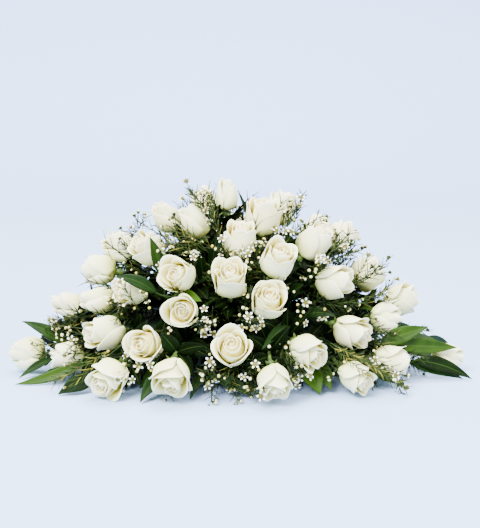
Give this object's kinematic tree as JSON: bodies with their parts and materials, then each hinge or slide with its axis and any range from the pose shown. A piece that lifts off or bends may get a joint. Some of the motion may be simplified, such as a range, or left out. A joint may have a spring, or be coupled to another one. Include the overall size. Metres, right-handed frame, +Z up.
{
  "type": "casket spray",
  "caption": "Low mounded funeral spray of white roses, leaves and waxflower in wet foam, standing in a shallow tray.",
  "frame": {"origin": "middle of the tray's flat underside, on the surface that the spray stands on", "axes": "+X along the spray, to the right in the picture; +Y to the far side; +Z up"},
  "size_m": [0.757, 0.4765, 0.3186],
  "materials": {
    "petal": "soft matte",
    "rose_stem": "satin",
    "leaf": "satin gloss",
    "waxflower": "satin",
    "foam": "matte",
    "tray": "satin"
  },
  "bodies": {
    "root": {"rose_crown_bud": "petal", "rose_crown_back_left": "petal", "rose_crown_left": "petal", "rose_crown_front": "petal", "rose_crown_right": "petal", "rose_crown_back_right": "petal", "rose_crown_back": "petal", "rose_left_top": "petal", "rose_left_shoulder": "petal", "rose_left_outer": "petal", "rose_left_nodding": "petal", "rose_left_middle": "petal", "rose_left_bud_in": "petal", "rose_left_bud_out": "petal", "rose_right_shoulder": "petal", "rose_right_top": "petal", "rose_right_back": "petal", "rose_right_middle": "petal", "rose_right_round": "petal", "rose_right_outer": "petal", "rose_right_facing": "petal", "rose_right_bud": "petal", "rose_front_high_right": "petal", "rose_front_high_left": "petal", "rose_front_centre": "petal", "rose_front_mid_right": "petal", "rose_front_mid_left": "petal", "rose_front_low_left": "petal", "rose_front_low_centre": "petal", "rose_front_low_right": "petal", "rose_left_cheek": "petal", "rose_end_left": "petal", "rose_ground_left_end": "petal", "rose_ground_left": "petal", "rose_ground_mid_left": "petal", "rose_ground_mid_right": "petal", "rose_ground_right": "petal", "rose_ground_right_end": "petal", "rose_end_right": "petal", "rose_back_left": "petal", "rose_back_middle": "petal", "rose_back_right": "petal", "rose_back_high_left": "petal", "rose_back_high_right": "petal", "waxflower_crown": "waxflower", "waxflower_left": "waxflower", "waxflower_right": "waxflower", "waxflower_front": "waxflower", "waxflower_back": "waxflower", "rose_stems_far_left": "rose_stem", "rose_stems_left": "rose_stem", "rose_stems_right": "rose_stem", "rose_stems_far_right": "rose_stem", "leaves_left": "leaf", "leaves_right": "leaf", "leaves_front_left": "leaf", "leaves_front_right": "leaf", "leaves_back": "leaf", "foam_block": "foam", "tray": "tray"}
  },
  "joints": []
}
